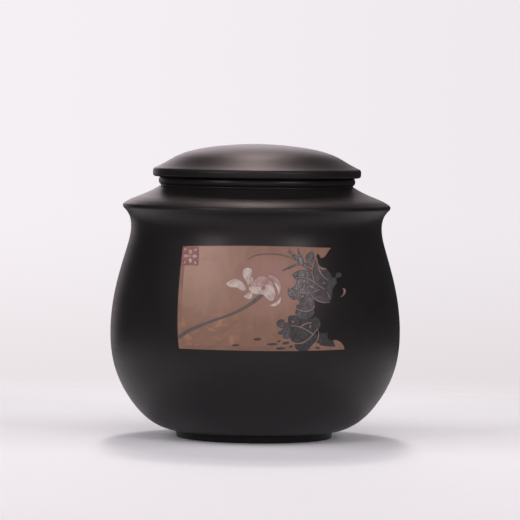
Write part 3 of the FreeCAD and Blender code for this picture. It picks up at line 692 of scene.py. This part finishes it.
def black_clay():
    """Burnished black clay: soft clouds, fine turning lines, specks and a dull polish."""
    deep = (0.0066, 0.0057, 0.0059)
    cloudy = (0.0088, 0.0076, 0.0078)
    ringed = (0.0120, 0.0104, 0.0105)
    specked = (0.035, 0.030, 0.029)
    clay = Shades("black_clay")
    clouds = clay.noise(clay.place, 38.0, 4.0, 0.55)
    # The rings change quickly along the outline and slowly round the axis.
    x, y, _ = clay.split(clay.stretched((18.0, 18.0, 18.0)))
    ring_place = clay.add("ShaderNodeCombineXYZ")
    clay.link(x, ring_place.inputs["X"])
    clay.link(y, ring_place.inputs["Y"])
    clay.link(clay.math("MULTIPLY", clay.attribute("along"), 1.6), ring_place.inputs["Z"])
    rings = clay.noise(ring_place.outputs[0], 1.0, 5.0, 0.65)
    grain = clay.noise(clay.place, 2600.0, 2.0, 0.6)
    speck = clay.noise(clay.place, 1150.0, 0.0)
    base = clay.mix(clay.span(clouds, 0.3, 0.7), deep, cloudy)
    base = clay.mix(clay.span(rings, 0.45, 0.75, 0.0, 0.35), base, ringed)
    base = clay.mix(clay.span(speck, 0.76, 0.82, 0.0, 0.35), base, specked)
    rough = clay.span(rings, 0.3, 0.7, 0.37, 0.43)
    normal = clay.bump(rings, RELIEF, 0.5)
    normal = clay.bump(grain, BLACK_GRAIN_RELIEF, 0.5, normal)
    return clay.finish(base, rough, BLACK_SPECULAR, normal)


def grained(clay, under=None):
    """The normal with an inlaid clay's fine grain, over an earlier relief if any."""
    return clay.bump(clay.noise(clay.place, 2200.0, 3.0, 0.6), RELIEF, 0.5, under)


def edged(clay, base, tone, near, far, share):
    """A colour with a share of a tone up to near, and none from far, in millimetres
    from the inlay's edge."""
    return clay.mix(clay.span(clay.attribute("rim"), near, far, share, 0.0), base, tone)


def tan_clay():
    """The tan ground: brushed strokes, paler at the upper left, rosy round the flower."""
    dark = (0.153, 0.0845, 0.0562)
    light = (0.185, 0.1055, 0.0718)
    low_tone = (0.15, 0.077, 0.048)
    pale_tone = (0.315, 0.206, 0.16)
    rosy_tone = (0.22, 0.125, 0.104)
    blotch_tone = (0.15, 0.083, 0.062)
    ember_tone = (0.32, 0.158, 0.1)
    edge_tone = (0.12, 0.064, 0.05)
    clay = Shades("tan_clay")
    x, _, z = clay.split(clay.place)
    # Where on the picture each tone lies.
    low = clay.span(z, 0.058, 0.036)
    low_left = clay.math("MULTIPLY", clay.span(z, 0.066, 0.052), clay.span(x, 0.004, -0.012))
    pale = clay.math("MULTIPLY", clay.span(x, 0.004, -0.03), clay.span(z, 0.05, 0.084))
    near_flower = clay.span(clay.distance(FLOWER_CENTRE), 0.017, 0.008, 0.0, 0.7)
    # Its marks.
    upright = clay.noise(clay.stretched((260.0, 90.0, 110.0)), 1.0, 4.0, 0.6, 0.8)
    slanted = clay.noise(clay.turned(STROKE_SLANT, (70.0, 90.0, 420.0)), 1.0, 4.0, 0.62, 0.9)
    strokes = clay.mix_values(low_left, upright, slanted)
    blotch = clay.noise(clay.place, 95.0, 3.0, 0.55, 0.6)
    embers = clay.noise(clay.stretched((150.0, 90.0, 230.0), (3.1, 0.0, 1.7)), 1.0, 3.0, 0.55, 0.8)
    embers = clay.math("MULTIPLY", clay.span(embers, 0.5, 0.7, 0.0, 0.5), low_left)
    base = clay.mix(clay.span(strokes, 0.34, 0.66), dark, light)
    base = clay.mix(clay.math("MULTIPLY", low, 0.5), base, low_tone)
    base = clay.mix(clay.math("MULTIPLY", pale, 0.75), base, pale_tone)
    base = clay.mix(near_flower, base, rosy_tone)
    base = clay.mix(clay.span(blotch, 0.5, 0.75, 0.0, 0.3), base, blotch_tone)
    base = clay.mix(embers, base, ember_tone)
    base = edged(clay, base, edge_tone, 0.0, 0.3, 0.4)
    rough = clay.span(strokes, 0.3, 0.7, 0.46, 0.56)
    normal = grained(clay, clay.bump(strokes, RELIEF, 0.35))
    return clay.finish(base, rough, INLAY_SPECULAR, normal)


def marked_clay(name, dark, light, fineness, edge, share):
    """A coloured clay with soft marks between two tones and a darker edge."""
    clay = Shades(name)
    marks = clay.noise(clay.place, fineness, 3.0, 0.6, 0.5)
    base = clay.mix(clay.span(marks, 0.32, 0.68), dark, light)
    base = edged(clay, base, edge, 0.0, 0.2, share)
    return clay.finish(base, INLAY_ROUGHNESS, INLAY_SPECULAR, grained(clay))


def petal_clay(name, dark, light, outline):
    """A pale petal: cloudy, with fine veins along it and a thin brown outline.

    The blossom in the seal, at the left of the picture, is of the same clay but dimmer."""
    clay = Shades(name)
    x = clay.split(clay.place)[0]
    veins = clay.noise(clay.turned(PETAL_SLANT, (1500.0, 900.0, 420.0)), 1.0, 3.0, 0.6, 1.2)
    clouds = clay.noise(clay.place, 330.0, 2.0, 0.5)
    base = clay.mix(clay.span(clouds, 0.34, 0.66), dark, light)
    base = clay.mix(clay.span(x, -0.014, -0.018, 0.0, 0.2), base, outline)
    base = clay.mix(clay.span(veins, 0.52, 0.66, 0.0, 0.45), base, outline)
    base = edged(clay, base, outline, 0.04, 0.3, 0.55)
    return clay.finish(base, INLAY_ROUGHNESS, INLAY_SPECULAR, grained(clay))


def leaf_clay(name, dark, light, outline):
    """A leaf: wavy streaks and a dark outline, and dimmer to the right and lower down."""
    clay = Shades(name)
    x, _, z = clay.split(clay.place)
    streaks = clay.noise(clay.turned(LEAF_SLANT, (900.0, 700.0, 300.0)), 1.0, 4.0, 0.65, 1.8)
    patches = clay.noise(clay.place, 210.0, 2.0, 0.5)
    dim = clay.math("MULTIPLY", clay.span(x, 0.018, 0.031), 0.8)
    dim = clay.math("MAXIMUM", dim, clay.span(z, 0.073, 0.06, 0.0, 0.62))
    base = clay.mix(clay.span(streaks, 0.4, 0.6), dark, light)
    base = clay.mix(clay.span(patches, 0.4, 0.7, 0.0, 0.4), base, dark)
    base = clay.mix(dim, base, outline)
    base = edged(clay, base, outline, 0.1, 0.45, 0.7)
    normal = grained(clay, clay.bump(streaks, RELIEF, 0.4))
    return clay.finish(base, INLAY_ROUGHNESS, INLAY_SPECULAR, normal)


def make_materials():
    """{material slot: clay}"""
    clays = {"black_clay": black_clay(), "tan_clay": tan_clay()}
    tables = ((marked_clay, MARKED_CLAYS), (petal_clay, PETAL_CLAYS), (leaf_clay, LEAF_CLAYS))
    for make_clay, table in tables:
        for slot, tones in table.items():
            clays[slot] = make_clay(slot, *tones)
    return clays


MATERIALS = make_materials()


def dress(obj, slot):
    """Gives a piece its material slot's clay."""
    obj.data.materials.clear()
    obj.data.materials.append(MATERIALS[slot])


# ---- pieces --------------------------------------------------------------------------
def slots_by_node():
    """{node: material slot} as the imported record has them."""
    return {part["node"]: part["material_slot"] for part in frame["record"]["subparts"]}


def make_pieces():
    """Every piece in place of its CAD node, on the body that the node rides on."""
    slots = slots_by_node()
    jar = lathe("turned_jar", JAR_OUTLINE, unevenness)
    lid = lathe("turned_lid", LID_OUTLINE)
    for piece, node, body in ((jar, "jar_body", "jar"), (lid, "lid", "lid")):
        dress(piece, slots[node])
        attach(piece, body)
        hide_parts(node)
    for node, slot in slots.items():
        if node in ("jar_body", "lid"):
            continue
        piece = inlay(node)
        dress(piece, slot)
        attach(piece, "jar")
        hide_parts(node)


# ---- studio --------------------------------------------------------------------------
def make_camera():
    """The camera that looks at the picture from the front, a little from above."""
    data = bpy.data.cameras.new("camera")
    data.lens = CAMERA_LENS
    data.sensor_width = CAMERA_SENSOR
    data.clip_end = CAMERA_REACH
    camera = bpy.data.objects.new("camera", data)
    pitch = Matrix.Rotation(math.radians(90 + CAMERA_PITCH), 4, "X")
    roll = Matrix.Rotation(math.radians(CAMERA_ROLL), 4, "Z")
    camera.matrix_world = Matrix.Translation(CAMERA_PLACE) @ pitch @ roll
    bpy.context.scene.collection.objects.link(camera)
    bpy.context.scene.camera = camera


def make_floor():
    """A pale floor that fades into the backdrop all round."""
    bpy.ops.mesh.primitive_circle_add(
        vertices=FLOOR_SIDES, radius=FLOOR_RADIUS, fill_type="TRIFAN")
    floor = bpy.context.active_object
    floor.name = "floor"
    floor.location.y = FLOOR_SHIFT
    paper = Shades("floor_paper")
    apart = paper.add("ShaderNodeVectorMath", operation="LENGTH")
    paper.link(paper.place, apart.inputs[0])
    apart = apart.outputs["Value"]
    fade = paper.span(apart, FLOOR_CLEAR_RADIUS, FLOOR_GONE_RADIUS, 1.0, 0.0)
    paper.finish(FLOOR_COLOUR, FLOOR_ROUGHNESS, FLOOR_SPECULAR)
    paper.link(fade, paper.surface.inputs["Alpha"])
    floor.data.materials.append(paper.material)


def lamp_light(sky, azimuth, elevation, full, gone, strength, tint):
    """The light of one soft lamp of the surroundings, as a colour by direction."""
    round_z = math.radians(azimuth)
    up = math.radians(elevation)
    toward = (math.sin(round_z) * math.cos(up), math.cos(round_z) * math.cos(up), math.sin(up))
    facing = sky.add("ShaderNodeVectorMath", operation="DOT_PRODUCT")
    sky.link(sky.place, facing.inputs[0])
    sky.link(toward, facing.inputs[1])
    edge = math.cos(math.radians(gone))
    middle = math.cos(math.radians(full))
    share = sky.span(facing.outputs["Value"], edge, middle, 0.0, strength)
    colours = sky.add("ShaderNodeVectorMath", operation="SCALE")
    sky.link(tint, colours.inputs[0])
    sky.link(share, colours.inputs["Scale"])
    return colours.outputs[0]


def make_world():
    """Pale where the camera looks; as light, a dim room with soft lamps round the jar."""
    world = bpy.data.worlds.new("surroundings")
    bpy.context.scene.world = world
    world.use_nodes = True
    sky = Shades.of_tree(world.node_tree)
    right, _, up = sky.split(sky.place)
    total = (ROOM_LIGHT, ROOM_LIGHT, ROOM_LIGHT)
    for lamp in LAMPS:
        add = sky.add("ShaderNodeVectorMath", operation="ADD")
        sky.link(total, add.inputs[0])
        sky.link(lamp_light(sky, *lamp), add.inputs[1])
        total = add.outputs[0]
    light = world.node_tree.nodes["Background"]
    sky.link(total, light.inputs["Color"])
    seen = sky.add("ShaderNodeBackground")
    tone = sky.mix(sky.span(up, *BACKDROP_TURN), BACKDROP_LOW, BACKDROP_HIGH)
    sky.link(tone, seen.inputs["Color"])
    sky.link(sky.span(right, *BACKDROP_SIDES, *BACKDROP_STRENGTHS), seen.inputs["Strength"])
    either = sky.add("ShaderNodeMixShader")
    sky.link(sky.add("ShaderNodeLightPath").outputs["Is Camera Ray"], either.inputs[0])
    sky.link(light.outputs[0], either.inputs[1])
    sky.link(seen.outputs[0], either.inputs[2])
    sky.link(either.outputs[0], world.node_tree.nodes["World Output"].inputs["Surface"])


def area_lamp(name, place, size, power):
    """A lamp for the floor and the picture that isn't mirrored in the clay."""
    data = bpy.data.lights.new(name, "AREA")
    data.shape = "RECTANGLE"
    data.size, data.size_y = size
    data.energy = power
    lamp = bpy.data.objects.new(name, data)
    lamp.location = place
    lamp.visible_glossy = False
    lamp.rotation_euler = (-Vector(place)).to_track_quat("-Z", "Y").to_euler()
    bpy.context.scene.collection.objects.link(lamp)


def make_studio():
    """Camera, floor and light."""
    make_camera()
    make_floor()
    make_world()
    for name, (place, size, power) in AREA_LAMPS.items():
        area_lamp(name, place, size, power)
    bpy.context.scene.view_settings.view_transform = "Standard"


make_studio()
make_pieces()
